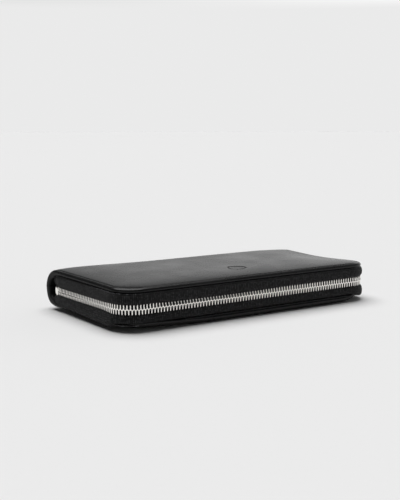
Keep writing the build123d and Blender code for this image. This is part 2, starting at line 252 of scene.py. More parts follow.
def woven(name, colour, across, along, strength, roughness):
    """Cloth woven along its run, on the run's own coordinates, its base colour painted lighter on the weave's
    crests as highlights and darker in its hollows as shade.

    across and along are threads in a millimetre, strength is the relief's.
    """
    material, tree, shader, place = new_material(name)
    run = tree.nodes.new("ShaderNodeTexCoord").outputs["UV"]
    split = node(tree, "ShaderNodeSeparateXYZ", Vector=run)

    def wave(source, cells, shift=None):
        turn = maths(tree, "MULTIPLY", source, cells * math.tau)
        if shift is not None:
            turn = maths(tree, "ADD", turn, shift)
        return maths(tree, "SINE", turn)

    lengthways = wave(split.outputs["Y"], across)
    crossways = wave(split.outputs["X"], along, maths(tree, "MULTIPLY", lengthways, WEAVE_SHIFT))
    weave = maths(tree, "ADD", crossways, lengthways)
    # painted light: in patches of noise the weave's crests are painted up to 7.5 times lighter than the cloth
    # as highlights, and its hollows 0.4 times as dark as shade
    painted_highlight_patches = ramp(tree, noise(tree, place, cells=0.7, detail=4.0), [(0.42, 0.15), (0.62, 1.0)])
    tone = ramp(tree, maths(tree, "MULTIPLY", weave, painted_highlight_patches),
                [(0.0, shade(colour, 0.4)), (0.45, colour), (0.95, shade(colour, 7.5))])
    tree.links.new(tone, shader.inputs["Base Color"])
    relief(tree, shader, weave, strength, depth=0.08)
    shader.inputs["Roughness"].default_value = roughness
    shader.inputs["Sheen Weight"].default_value = 0.03
    shader.inputs["Sheen Roughness"].default_value = 0.5
    shader.inputs["Specular IOR Level"].default_value = 0.2
    return material


def metal(name, colour, roughness):
    """Polished plated metal with fine tumbling marks."""
    material, tree, shader, place = new_material(name)
    marks = noise(tree, place, cells=1.5, detail=5.0)
    tone = ramp(tree, marks, [(0.3, shade(colour, 0.9)), (0.7, colour)])
    tree.links.new(tone, shader.inputs["Base Color"])
    shine = ramp(tree, marks, [(0.3, roughness * 0.7), (0.7, roughness * 1.3)])
    tree.links.new(shine, shader.inputs["Roughness"])
    relief(tree, shader, marks, strength=0.08, depth=0.02)
    shader.inputs["Metallic"].default_value = 1.0
    return material


outer_leather = leather("outer_leather", (0.006, 0.006, 0.0062), roughness=0.26, grain=0.05, gloss=0.22)
inner_leather = leather("inner_leather", (0.034, 0.033, 0.033), roughness=0.4, grain=0.25, gloss=0.5)
tape_cloth = woven("zip_tape", (0.008, 0.008, 0.0083), across=1.3, along=0.8, strength=0.75,
                   roughness=0.75)
lining_cloth = woven("lining", (0.04, 0.04, 0.042), across=2.2, along=2.2, strength=0.35, roughness=0.6)
bright_metal = metal("bright_metal", (0.97, 0.945, 0.9), roughness=0.08)
edge_paint = leather("edge_paint", (0.004, 0.004, 0.004), roughness=0.5, grain=0.15, gloss=0.15)
thread = leather("thread", (0.06, 0.06, 0.062), roughness=0.5, grain=0.4, gloss=0.35)


# -------------------- plan of the wallet
def edge_distance(x, y, inset):
    """How far a point is inside the cover's front and side edges."""
    half, front, radius = HALF - inset, FRONT + inset, CORNER - inset
    across = np.abs(x) - (half - radius)
    ahead = (front + radius) - y
    straight = np.minimum(half - np.abs(x), y - front)
    bend = radius - np.hypot(across, ahead)
    return np.where((across > 0) & (ahead > 0), bend, straight)


def edge_outward(x, y, inset):
    """Unit direction out of the cover at a point of its edge."""
    half, front, radius = HALF - inset, FRONT + inset, CORNER - inset
    across = abs(x) - (half - radius)
    ahead = (front + radius) - y
    if across > 0 and ahead > 0:
        size = math.hypot(across, ahead)
        return math.copysign(across / size, x), -ahead / size
    if across > ahead:
        return math.copysign(1.0, x), 0.0
    return 0.0, -1.0


def side_gap(x):
    """Distance from the nearer side edge of a cover."""
    return HALF - EDGE - np.abs(x)


# places of the fine grid lines, from an edge inward
FINE_INSETS = [0, 0.12, 0.3, 0.55, 0.85, 1.2, 1.6, 1.9, 2.15, 2.4, 2.65, 2.9, 3.3, 3.9, 4.7,
               6, 8, 11, 15, 20, 26, 33]
FINE_REACH = 8.0                        # fine lines go this far to each side of the mark's middle
FINE_STEP = 0.5
COARSE_STEP = 7.0
COARSE_GAP = 3.0                        # a coarse line stays this far from a fine one
LEAST_GAP = 0.05                        # of two lines nearer than this, one is left out
MARK = (3.5, -22.0)                     # centre of the plain round mark pressed into the top
MARK_RADIUS = 5.8


def plan_lines(low, high, fine_high, around):
    """Grid line places between low and high: fine at low, around a place and, if asked, at high."""
    places = {low + inset for inset in FINE_INSETS}
    if fine_high:
        places.update(high - inset for inset in FINE_INSETS)
    places.update(np.arange(around - FINE_REACH, around + FINE_REACH + 0.01, FINE_STEP))
    step = (high - low) / round((high - low) / COARSE_STEP)
    for place in np.arange(low, high + 0.1, step):
        if min(abs(place - p) for p in places) > COARSE_GAP or place in (low, high):
            places.add(place)
    ordered = sorted(places)
    return np.array([p for p, q in zip(ordered, ordered[1:] + [math.inf]) if q - p > LEAST_GAP])


def cover_plan(inset):
    """Points of a cover's plan as a grid, spanned between the front, the two sides and the hinge line."""
    half, front, radius = HALF - inset, FRONT + inset, CORNER - inset
    cut = radius * (1 - math.cos(math.pi / 4))
    u = (plan_lines(-half, half, True, MARK[0]) + half) / (2 * half)
    v = (plan_lines(front, HINGE, False, MARK[1]) - front) / (HINGE - front)
    u, v = np.meshgrid(u, v)

    front_x = -half + cut + u * 2 * (half - cut)
    bend = np.maximum(np.abs(front_x) - (half - radius), 0)
    front_y = front + radius - np.sqrt(radius ** 2 - bend ** 2)
    side_y = front + cut + v * (HINGE - front - cut)
    bend = np.maximum(front + radius - side_y, 0)
    side_x = half - radius + np.sqrt(radius ** 2 - bend ** 2)
    back_x = -half + u * 2 * half

    x = (1 - v) * front_x + v * back_x + (2 * u - 1) * side_x
    x -= (2 * u - 1) * ((1 - v) * (half - cut) + v * half)
    y = (1 - v) * front_y + v * HINGE + side_y - ((1 - v) * (front + cut) + v * HINGE)
    return x, y


CORNER_LIFT = (1.4, 0.4)                # of the back left corner: halfway up, and how much less on top
LIFT_LENGTH = 75.0                      # how far from the left end it begins


def left_lift(x, y, level):
    """How far the wallet stands off its rest face at its back left corner.

    level is -1 on the underside and 1 on top.
    """
    share = smooth(-x, HALF - LIFT_LENGTH, HALF) * smooth(y, FRONT + 8.0, HINGE)
    return share * (CORNER_LIFT[0] - CORNER_LIFT[1] * level)


def ridge(value, centre, width):
    """A smooth bump with a height of 1."""
    return np.exp(-((value - centre) / width) ** 2)


# -------------------- covers and spine
SPINE_STEPS = 16
SPINE_POWER = 0.97                      # roundness of the spine's section: 1 is an ellipse, less is squarer
SEAM_ROLL = (2.2, 1.3)                  # width and height of the spine's end roll where the two halves meet
ROLL_TURN = 0.985                       # under 1, so that an edge roll stops just short of upright
CREASE = (0.3, 2.6, 0.4)                # depth, place in from the edge and width of the line creased along it
CROWN = (1.35, 9.0)                     # how far the padded top falls at its edges, and how fast
MARK_RING = (0.4, 0.5)                  # depth and width of the mark's pressed ring
MARK_DISH = (0.18, 2.8, 5.6)            # depth of the dish inside it, and the radii between which it ends
END_DIP = (1.5, 2.0, 34.0)              # dip in the top's right end: depth, middle and width along Y
# rise of the underside at its right and left ends: width, height, and how far its edge draws in
RISE_RIGHT = (26.0, 3.9, 4.0)
RISE_LEFT = (18.0, 1.0, -2.2)
FRONT_RISE = 2.2                        # of the underside along the front left
HINGE_EDGE = 2.4                        # how much thicker the turned edge is at the hinge
CORNER_EDGE = 1.1                       # how much thinner the lower one is towards the ends
LEATHER_BANDS = 3                       # bands of the turned edge that still show leather, not edge paint
PAINTED_END = 3.0                       # this near the left end all of the turned edge is painted
# the turned edge: how far in, and the share of the edge's thickness under the face
TURNED_EDGE = [(0.0, 0.25), (0.03, 0.5), (0.16, 0.78), (0.5, 0.95), (1.2, 1.0), (7.0, 1.02)]


def cover_sheet(name, side):
    """Outer leather of one half: its cover, its half of the spine, and the edge turned in round it all.

    side is 1 for the top and -1 for the bottom.
    """
    top = side > 0
    roll_width, roll_height = (1.9, 1.35) if top else (5.0, 2.5)
    lip = 1.0 if top else 1.7           # thickness of the turned edge
    sag = 0.5 if top else 0.0           # how far the cover sinks towards the spine
    power = SPINE_POWER if top else 0.75
    x, y = cover_plan(EDGE)
    d = edge_distance(x, y, EDGE)
    flat_rows = x.shape[0]

    back_x = x[-1]
    angles = np.linspace(math.pi / 2, 0, SPINE_STEPS + 1)[1:]
    x = np.vstack([x] + [back_x] * SPINE_STEPS)
    d = np.vstack([d] + [side_gap(back_x)] * SPINE_STEPS)
    spine_y = [HINGE + (BACK - HINGE) * math.cos(a) ** power for a in angles]
    spine_z = [(MID - sag) * math.sin(a) ** power if a > 0 else 0.0 for a in angles]
    y = np.vstack([y] + [np.full(back_x.shape, value) for value in spine_y])
    normal_y = np.zeros(x.shape)
    normal_z = np.ones(x.shape)
    lift = np.full(x.shape, MID) - sag * smooth(y, FRONT + 5, HINGE)
    for row, (height, angle) in enumerate(zip(spine_z, angles), flat_rows):
        lift[row] = height
        normal_y[row] = math.cos(angle)
        normal_z[row] = math.sin(angle)

    flatness = normal_z ** 0.7
    t = np.clip(1 - d / (flatness * roll_width + (1 - flatness) * SEAM_ROLL[0]), 0, 1)
    drop = flatness * roll_height + (1 - flatness) * SEAM_ROLL[1]
    drop *= 1 - np.sqrt(1 - t ** 2 * ROLL_TURN)
    drop += CREASE[0] * ridge(d, CREASE[1], CREASE[2])
    if top:
        drop += flatness * CROWN[0] * np.exp(-d / CROWN[1])
        # the plain mark: a pressed ring and a shallow dish inside it
        r = np.hypot(x - MARK[0], y - MARK[1])
        on_cover = (np.arange(x.shape[0]) < flat_rows)[:, None]
        drop += on_cover * (MARK_RING[0] * ridge(r, MARK_RADIUS, MARK_RING[1])
                            + MARK_DISH[0] * (1 - smooth(r, MARK_DISH[1], MARK_DISH[2])))
        drop += END_DIP[0] * ridge(y, END_DIP[1], END_DIP[2]) * smooth(x, HALF - 40.0, HALF - 4.0)
    else:
        width, rise, draw_in = (np.where(x > 0, *pair) for pair in zip(RISE_RIGHT, RISE_LEFT))
        near_side = smooth(np.abs(x), HALF - width, HALF - EDGE) * (1 - smooth(y, 8.0, HINGE))
        drop += near_side * rise
        drop += FRONT_RISE * smooth(-x, 30.0, HALF - 8.0) * (1 - smooth(y, FRONT + 4.0, FRONT + 34.0))
        x = x - draw_in * near_side
    # towards the hinge the sides widen to the wallet's full length
    x = x + np.sign(x) * EDGE * smooth(y, -20.0, HINGE) * (1 - smooth(side_gap(x), 0, 20.0))
    level = side * (lift - normal_z * drop)
    outer = np.stack([x, y - normal_y * drop, MID + level + left_lift(x, y, level / MID)], axis=-1)
    rows, cols = x.shape
    verts = list(outer.reshape(-1, 3))
    faces = grid_faces(rows, cols, flip=not top)

    rim = [(r, 0) for r in range(rows - 1, 0, -1)] + [(0, c) for c in range(cols)] + \
          [(r, cols - 1) for r in range(1, rows)]
    previous = [r * cols + c for r, c in rim]
    for inward, depth in TURNED_EDGE:
        ring = []
        for r, c in rim:
            point = outer[r, c]
            if r < flat_rows:
                out_x, out_y = edge_outward(x[r, c], y[r, c], EDGE)
            else:
                out_x, out_y = math.copysign(1.0, x[r, c]), 0.0
            thick = lip + HINGE_EDGE * float(smooth(y[r, c], HINGE - 4, HINGE + 5))
            if not top and r < flat_rows:
                thick -= CORNER_EDGE * float(smooth(abs(x[r, c]), HALF - 14.0, HALF - 6.0))
            ring.append(len(verts))
            verts.append(np.array([point[0] - out_x * inward,
                                   point[1] - out_y * inward - normal_y[r, c] * depth * thick,
                                   point[2] - side * normal_z[r, c] * depth * thick]))
        for a, b, b_in, a_in in zip(previous, previous[1:], ring[1:], ring):
            faces.append((a, a_in, b_in, b) if top else (a, b, b_in, a_in))
        previous = ring
    piece = make_piece(name, verts, faces, outer_leather)
    piece.data.materials.append(edge_paint)
    turned_in = (rows - 1) * (cols - 1)
    under_edge = turned_in + LEATHER_BANDS * (len(rim) - 1)
    for face in list(piece.data.polygons)[turned_in:]:
        if face.index >= under_edge or face.center.x < (-HALF + PAINTED_END) * MM:
            face.material_index = 1
    return piece


top_sheet = cover_sheet("top_cover_and_spine_leather", 1)
bottom_sheet = cover_sheet("bottom_cover_and_spine_leather", -1)

SPINE_WALL = 3.7                        # from the spine's outer face to its lining
LINING_MARGIN = 1.2                     # the spine lining ends this far inside the leather's ends
LINING_TUCK = 3.0                       # how far it goes on under a cover's lining


def spine_inside(name, side):
    """Lining of one half of the spine's hollow."""
    reach = BACK - HINGE - SPINE_WALL
    height = MID - SPINE_WALL
    verts, uvs = [], []
    width = 2 * (HALF - EDGE - LINING_MARGIN)
    columns = np.linspace(-width / 2, width / 2, 40)
    angles = np.linspace(math.pi / 2, 0, SPINE_STEPS + 1)
    for row, angle in enumerate([math.pi / 2] + list(angles)):
        for column in columns:
            y = HINGE + reach * math.cos(angle) ** SPINE_POWER - (LINING_TUCK if row == 0 else 0.0)
            level = side * height * max(math.sin(angle), 0.0) ** SPINE_POWER
            verts.append((column, y, MID + level + float(left_lift(column, y, level / MID))))
            uvs.append((column, row * 1.3))
    faces = grid_faces(SPINE_STEPS + 2, len(columns), flip=side > 0)
    piece = make_piece(name, verts, faces, lining_cloth, uvs)
    return piece


spine_up = spine_inside("spine_lining_upper", 1)
spine_down = spine_inside("spine_lining_lower", -1)

for piece, body, height in ((top_sheet, "top_half", THICK), (spine_up, "top_half", THICK),
                            (bottom_sheet, "bottom_half", 0.0), (spine_down, "bottom_half", 0.0)):
    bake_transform(piece)
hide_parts("top_cover_leather", "top_cover_padding", "top_cover_board", "top_cover_filler")
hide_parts("bottom_cover_leather", "bottom_cover_padding", "bottom_cover_board",
            "bottom_cover_filler", "spine_leather", "spine_reinforcement")
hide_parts("spine_lining")


# -------------------- the zip's route
TAPE_END = cad_box("upper_zip_tape")[1][1]
SIDE_RUN = TAPE_END - (FRONT + CORNER)
BEND_RUN = CORNER * math.pi / 2
FRONT_RUN = 2 * (HALF - CORNER)
TRACK = 2 * SIDE_RUN + 2 * BEND_RUN + FRONT_RUN


def route(distance):
    """Point of the tape's outer face at a distance from its left end, and the direction out of it."""
    if distance < SIDE_RUN:
        return -HALF, TAPE_END - distance, -1.0, 0.0
    distance -= SIDE_RUN
    if distance < BEND_RUN:
        turn = math.pi + distance / CORNER
        out = (math.cos(turn), math.sin(turn))
        return -HALF + CORNER * (1 + out[0]), FRONT + CORNER * (1 + out[1]), *out
    distance -= BEND_RUN
    if distance < FRONT_RUN:
        return -HALF + CORNER + distance, FRONT, 0.0, -1.0
    distance -= FRONT_RUN
    if distance < BEND_RUN:
        turn = 1.5 * math.pi + distance / CORNER
        out = (math.cos(turn), math.sin(turn))
        return HALF - CORNER * (1 - out[0]), FRONT + CORNER * (1 + out[1]), *out
    distance -= BEND_RUN
    return HALF, FRONT + CORNER + distance, 1.0, 0.0


CHAIN_RISE = 0.2                        # how far above the wallet's middle the chain runs along the front
CHAIN_DIP = 0.9                         # how far it dips on the left, where it isn't held
TAIL_TUCK = 1.3                         # how far in towards the spine's hollow its left end turns


def chain_height(distance):
    """Height of the chain's middle."""
    rise = CHAIN_RISE * smooth(distance, 0, SIDE_RUN)
    return MID + rise - CHAIN_DIP * (1 - smooth(distance, 4, SIDE_RUN + 8))


def tail_tuck(distance):
    """How far the zip turns in towards the spine's hollow at its left end."""
    return TAIL_TUCK * (1 - smooth(distance, -4, 5))


TAPE_STEP = 1.5
TAPE_THICK = 0.5
RIGHT_BULGE = 0.9                       # how far the tape bulges out beside the slider
RIGHT_DROOP = 1.1                       # droop of the lower seam on the right, as a share of the left's


def tape_band(name, side, start=0.0, end=TRACK):
    """One side of the zip: the tape from under its cover, out over its bulge and down to the corded edge.

    It runs from one distance along the zip to another; the tail behind the hinge line has a start below 0.
    """
    seam = 9.6 if side > 0 else 8.4     # from the chain's middle to the cover's edge
    droop = 2.9 if side < 0 else 0.0    # how much lower the lower seam is along the left side
    # inward from the outer face, and away from the chain's middle
    section = [(7.0, seam), (2.8, seam - 0.05), (1.5, seam - 0.35), (0.7, seam - 1.0), (0.25, seam - 1.9),
               (0.0, seam - 2.8), (0.15, 4.7), (0.5, 4.0), (1.0, 3.35), (1.2, 2.9), (1.4, 2.4), (1.6, 1.9),
               (1.9, 1.6)]
    steps = int((end - start) / TAPE_STEP) + 1
    verts, uvs = [], []
    lengths = np.cumsum([0] + [math.dist(a, b) for a, b in zip(section, section[1:])])
    for step in range(steps + 1):
        distance = start + (end - start) * step / steps
        x, y, out_x, out_y = route(distance)
        middle = chain_height(distance)
        tuck = tail_tuck(distance)
        bulge = RIGHT_BULGE * smooth(distance, TRACK - SIDE_RUN - BEND_RUN / 2, TRACK - SIDE_RUN)
        at_left = 1 - smooth(distance, SIDE_RUN - 4, SIDE_RUN + 9)
        at_right = 1 - smooth(TRACK - distance, SIDE_RUN + 6, SIDE_RUN + 30)
        for (inset, reach), run in zip(section, lengths):
            share = 1 - reach / seam    # 1 at the chain and 0 at the seam
            lower = droop * (at_left + RIGHT_DROOP * at_right) * smooth(reach, 4.0, seam)
            z = MID + side * (reach + lower) + (middle - MID) * share
            z += float(left_lift(x, y, side * reach / MID)) * (1 - share)
            inset = inset + tuck - bulge * smooth(reach, 3.6, 5.5) - 0.25 * lower
            verts.append((x - out_x * inset, y - out_y * inset, z))
            uvs.append((distance, run))
    faces = grid_faces(steps + 1, len(section), flip=side < 0)
    piece = make_piece(name, verts, faces, tape_cloth, uvs)
    thicken(piece, TAPE_THICK, -1.0)
    return piece


upper_tape = tape_band("upper_woven_tape", 1)
lower_tape = tape_band("lower_woven_tape", -1)
for piece, body, node_name in ((upper_tape, "top_half", "upper_zip_tape"),
                               (lower_tape, "bottom_half", "lower_zip_tape")):
    stand_for(piece, body, "zip_tape_fabric", node_name)


# -------------------- chain
TOOTH_SIDES = 12
TOOTH_SQUARENESS = 0.3                  # 1 gives a round tooth and 0 a square one


def tooth_template(width, depth, reach, bite):
    """One rounded tooth about its chain's middle: X is out of the tape, Y along it and Z up to its back."""
    # height, share of the width and share of the depth, from the head that bites to the back
    levels = [(-bite, 0.5, 0.5), (-bite + 0.2, 0.92, 0.76), (-bite * 0.2, 1.15, 0.92),
              (bite * 0.6, 1.1, 0.92), (bite + 0.4, 0.68, 0.74), (reach * 0.6, 0.64, 0.62),
              (reach - 0.6, 0.6, 0.58), (reach - 0.2, 0.5, 0.48), (reach, 0.32, 0.3)]
    ring = []
    for k in range(TOOTH_SIDES):
        turn = math.tau * k / TOOTH_SIDES
        ring.append((math.copysign(abs(math.cos(turn)) ** TOOTH_SQUARENESS, math.cos(turn)),
                     math.copysign(abs(math.sin(turn)) ** TOOTH_SQUARENESS, math.sin(turn))))
    verts = [(a * depth / 2 * thick, b * width / 2 * wide, z) for z, wide, thick in levels for a, b in ring]
    return np.array(verts), tube_faces(len(levels), TOOTH_SIDES)


TOOTH_THIN = 0.42                       # share of its depth that a tooth keeps outward
LEFT_THIN = 0.1                         # how much less it is on the left side
UPPER_LEAN, LOWER_LEAN = 0.24, -0.1     # slope by which a tooth's back leans in; below 0 it leans out


def chain_row(name, template, places, flip):
    """Copies of one tooth, each at a point with its outward direction; flip turns it head up."""
    base, base_faces = template
    verts, faces = [], []
    for x, y, z, out_x, out_y in places:
        local = base.copy()
        local[:, 0] *= TOOTH_THIN - LEFT_THIN * max(-out_x, 0.0)
        lean = LOWER_LEAN if flip else UPPER_LEAN * float(smooth(x, 45.0, -20.0) * smooth(x, -82.0, -62.0))
        local[:, 0] -= lean * np.maximum(local[:, 2] * (-1 if flip else 1), 0.0)
        if flip:
            local[:, 2] *= -1
        first = len(verts)
        for px, py, pz in local:
            verts.append((x + out_x * px - out_y * py, y + out_y * px + out_x * py, z + pz))
        for face in base_faces:
            moved = tuple(first + i for i in face)
            faces.append(moved[::-1] if flip else moved)
    return make_piece(name, verts, faces, bright_metal)


TOOTH_PITCH = 2.13
FIRST_TOOTH = 0.6
UPPER_APART, LOWER_APART = 0.65, -0.3   # how far each row stands off the middle at the left end
TOOTH_INSET = 1.2                       # of a tooth's middle, inside the tape's outer face
LEFT_INSET = 0.4                        # how much more it is on the left side
slider_front = cad_box("zip_slider_body")[0][1]
last_tooth = TRACK - (TAPE_END - slider_front) - 0.6
main_tooth = tooth_template(width=1.05, depth=1.9, reach=3.05, bite=0.4)


def tooth_places(first, stop, apart):
    """Middles of one row's teeth; at the left end the row stands this far off the chain's middle."""
    places = []
    distance = first
    while distance < stop:
        x, y, out_x, out_y = route(distance)
        inset = TOOTH_INSET + LEFT_INSET * float(1 - smooth(distance, SIDE_RUN - 10, SIDE_RUN + 8))
        inset += float(tail_tuck(distance))
        z = float(chain_height(distance) + apart * (1 - smooth(distance, 12, SIDE_RUN + 4)))
        places.append((x - out_x * inset, y - out_y * inset, z, out_x, out_y))
        distance += TOOTH_PITCH
    return places


upper_places = tooth_places(FIRST_TOOTH, last_tooth, UPPER_APART)
lower_places = tooth_places(FIRST_TOOTH + TOOTH_PITCH / 2, last_tooth, LOWER_APART)
upper_teeth = chain_row("upper_chain_teeth", main_tooth, upper_places, False)
lower_teeth = chain_row("lower_chain_teeth", main_tooth, lower_places, True)
for piece, body, node_name in ((upper_teeth, "top_half", "upper_zip_teeth"),
                               (lower_teeth, "bottom_half", "lower_zip_teeth")):
    stand_for(piece, body, "zip_metal", node_name)

tail_end = TAPE_END - tape_high[1]
STOP_LENGTH = 3.4
STOP_GAP = 0.35                         # from the tape's left end to the staple
STAPLE_THICK = 0.75
STAPLE_MIDDLE = 0.37                    # inward place about which the staple's ends narrow
STAPLE_SPREAD = 1.35                    # how much taller the staple is than its outline


def bottom_stop():
    """The staple that ends the chain at the left: a plate over both cords, its ends bent in."""
    height = float(chain_height(0.0))
    first = TAPE_END + STOP_GAP
    last = TAPE_END + STOP_GAP + STOP_LENGTH
    face_x = -HALF + 0.75 + float(tail_tuck(-2.0))
    outline = [(2.5, 0.45), (1.8, 0.1), (0.8, 0.0), (-0.8, 0.0), (-1.8, 0.1), (-2.5, 0.45)]
    section = [(inset, z * STAPLE_SPREAD) for z, inset in outline]
    section += [(inset + STAPLE_THICK, z * STAPLE_SPREAD) for z, inset in outline[::-1]]
    rows = [(first, 0.75), (first + 0.2, 0.95), (first + 0.5, 1.0),
            (last - 0.5, 1.0), (last - 0.2, 0.95), (last, 0.75)]
    verts = [(face_x + STAPLE_MIDDLE + (inset - STAPLE_MIDDLE) * size, y, height + z * size)
             for y, size in rows for inset, z in section]
    piece = make_piece("bottom_stop_staple", verts, tube_faces(len(rows), len(section)), bright_metal)
    outward(piece)
    stand_for(piece, "coin_leaf", "zip_metal", "zip_bottom_stop")


bottom_stop()
for word, side, body in (("upper", 1, "top_half"), ("lower", -1, "bottom_half")):
    tail = tape_band(f"{word}_tape_tail", side, tail_end, 0.0)
    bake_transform(tail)

# -------------------- flat leather goods inside
FLAT = Matrix.Identity(3)               # a panel's own X, Y and thickness, as they lie in the wallet
CORNER_STEPS = 6


def panel(name, low, high, front_radius, back_radius, material, crease=True, turn=FLAT):
    """A thin panel between two corners: rounded in plan, with soft edges and a creased line along them.

    low and high are in the panel's own axes, and turn takes those to the wallet's.
    """
    middle = (np.array(low) + high) / 2
    half = (np.array(high) - low) / 2
    soft = min(half[2] * 0.6, 0.3)
    above = [(soft, half[2]), (soft * 0.3, half[2] - soft * 0.3), (0.0, half[2] - soft)]
    if crease:
        above = [(2.1, half[2]), (1.75, half[2]), (1.5, half[2] - 0.12), (1.25, half[2])] + above
    rings = [(inset, -height) for inset, height in above]
    rings += [(inset, height) for inset, height in above[::-1]]
    verts = []
    for inset, height in rings:
        for sign_x, sign_y, first in ((1, -1, -90), (1, 1, 0), (-1, 1, 90), (-1, -1, 180)):
            radius = front_radius if sign_y < 0 else back_radius
            reach = max(radius - inset, 0.05)
            centre_x = sign_x * (half[0] - inset - reach)
            centre_y = sign_y * (half[1] - inset - reach)
            for step in range(CORNER_STEPS + 1):
                a = math.radians(first + 90 * step / CORNER_STEPS)
                local = Vector((centre_x + reach * math.cos(a), centre_y + reach * math.sin(a), height))
                verts.append(turn @ (local + Vector(middle)))
    faces = tube_faces(len(rings), 4 * (CORNER_STEPS + 1))
    piece = make_piece(name, verts, faces, material, [(v[0], v[1]) for v in verts])
    outward(piece)
    for cap in (-1, -2):
        piece.data.polygons[cap].use_smooth = False
    return piece


STITCH_PITCH = 3.0
STITCH_LENGTH = 2.3
STITCH_WIDTH = 0.42
STITCH_LIFT = 0.1
STITCH_SIDES = 6
# place along a stitch, share of its width and share of its lift
STITCH_RINGS = [(-0.5, 0.35, 0.0), (-0.3, 0.9, 0.6), (0.0, 1.0, 1.0), (0.3, 0.9, 0.6), (0.5, 0.35, 0.0)]


def stitches(name, runs):
    """Thread along straight runs. Each run is (start, end, normal of the surface it lies on)."""
    verts, faces = [], []
    for start, end, normal in runs:
        start, end, normal = Vector(start), Vector(end), Vector(normal)
        along = (end - start).normalized()
        across = normal.cross(along)
        total = max(int((end - start).length / STITCH_PITCH), 1)
        for number in range(total):
            centre = start + (end - start) * ((number + 0.5) / total)
            faces += tube_faces(len(STITCH_RINGS), STITCH_SIDES, len(verts))
            for shift, size, lift in STITCH_RINGS:
                for k in range(STITCH_SIDES):
                    a = math.tau * k / STITCH_SIDES
                    offset = across * math.cos(a) + normal * math.sin(a)
                    verts.append(centre + along * shift * STITCH_LENGTH + normal * STITCH_LIFT * lift
                                 + offset * size * STITCH_WIDTH / 2)
    piece = make_piece(name, verts, faces, thread)
    outward(piece)
    return piece


def panel_for(cad_name, name, body, front_radius, back_radius):
    """An inner leather panel in place of a flat CAD node."""
    low, high = cad_box(cad_name)
    piece = panel(name, low, high, front_radius, back_radius, inner_leather)
    return stand_for(piece, body, "inner_leather", cad_name)


SLOTS = 4
SEAM = 1.6                              # stitching is this far in from an edge
CENTRE_SEAM = 0.9                       # and this far to each side of a panel's middle
LINING_CORNER = CORNER - 1.2            # radius of a cover lining's front corners
POCKET_CORNER = 3.0
HINGE_CORNER = 0.3                      # radius of a panel's corners at the hinge


def half_inside(word, cad_cover, body, side):
    """Lining, card panel and its stitching in one half; side is 1 where it faces up."""
    low, high = cad_box(f"{cad_cover}_lining")
    lining = panel(f"{word}_woven_lining", low, high, LINING_CORNER, HINGE_CORNER, lining_cloth,
                   crease=False)
    stand_for(lining, body, "lining_fabric", f"{cad_cover}_lining")
    panel_for(f"{word}_card_backing", f"{word}_card_panel_back", body, POCKET_CORNER, HINGE_CORNER)
    mouths = []
    for number in range(1, SLOTS + 1):
        cad_name = f"{word}_card_slot_{number}"
        panel_for(cad_name, f"{word}_card_pocket_{number}", body, POCKET_CORNER, HINGE_CORNER)
        low, high = cad_box(cad_name)
        mouths.append((low[1], high[2] if side > 0 else low[2]))
    runs = []
    normal = (0, 0, side)
    for number, (mouth, level) in enumerate(mouths):
        stop = mouths[number + 1][0] if number + 1 < SLOTS else high[1] - 1.0
        for x in (low[0] + SEAM, -CENTRE_SEAM, CENTRE_SEAM, high[0] - SEAM):
            runs.append(((x, mouth + 0.6, level), (x, stop - 0.3, level), normal))
    back = high[1] - SEAM
    runs.append(((low[0] + 3, back, level), (high[0] - 3, back, level), normal))
    stand_for(stitches(f"{word}_card_panel_stitching", runs), body, "inner_leather")


half_inside("lower", "bottom", "bottom_half", 1)
half_inside("upper", "top", "top_half", -1)


# -------------------- coin pocket
def swept(name, path, profile, material, thickness):
    """A strip: profile points (inward, up) carried along a path of (x, y, inward x, inward y)."""
    lengths = np.cumsum([0] + [math.dist(a[:2], b[:2]) for a, b in zip(path, path[1:])])
    widths = np.cumsum([0] + [math.dist(a, b) for a, b in zip(profile, profile[1:])])
    verts, uvs = [], []
    for (x, y, in_x, in_y), run in zip(path, lengths):
        for (inward, up), width in zip(profile, widths):
            verts.append((x + in_x * inward, y + in_y * inward, up))
            uvs.append((run, width))
    piece = make_piece(name, verts, grid_faces(len(path), len(profile)), material, uvs)
    thicken(piece, thickness, 0.0)
    outward(piece)
    return piece


BINDING_THICK = 0.5                     # of the folded sides of the coin pocket and the note compartments
COIN_TAPE_THICK = 0.5
COIN_PITCH = 2.0


